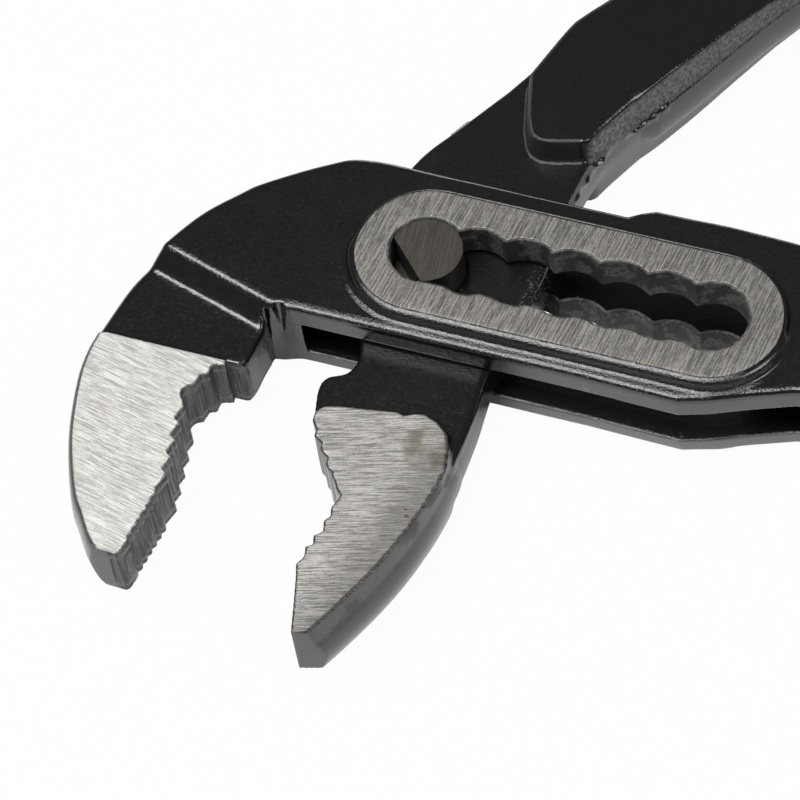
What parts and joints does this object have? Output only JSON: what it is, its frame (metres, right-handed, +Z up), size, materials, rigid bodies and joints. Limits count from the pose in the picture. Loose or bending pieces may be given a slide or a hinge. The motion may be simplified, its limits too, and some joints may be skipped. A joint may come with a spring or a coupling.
{
  "type": "water pump pliers",
  "caption": "Box-joint water pump pliers: a through half with a flatted pivot pin set in a scalloped slot, toothed pipe jaws and sleeved handles.",
  "frame": {"origin": "under the middle of the whole tool's box, in the plane that it lies on", "axes": "+X along the adjusting slot towards the handles, -Y towards the jaw tips, +Z up along the pivot axis"},
  "size_m": [0.258, 0.201, 0.0167],
  "materials": {
    "black_steel": "black forged steel with ground bright faces",
    "bare_steel": "ground",
    "grip_sleeve": "matt"
  },
  "bodies": {
    "slotted_half": {"slotted_half": "black_steel", "slotted_grip": "grip_sleeve"},
    "pivot_pin": {"pivot_pin": "bare_steel"},
    "through_half": {"through_half": "black_steel", "through_grip": "grip_sleeve"}
  },
  "joints": [
    {"name": "size_slide", "type": "slide", "parent": "slotted_half", "child": "pivot_pin", "axis": [1, 0, 0], "range_m": [0, 0.039]},
    {"name": "jaw_pivot", "type": "hinge", "parent": "pivot_pin", "child": "through_half", "pos_m": [-0.08911, -0.04334, 0.00835], "axis": [0, 0, 1], "range_deg": [-25, 36]}
  ]
}
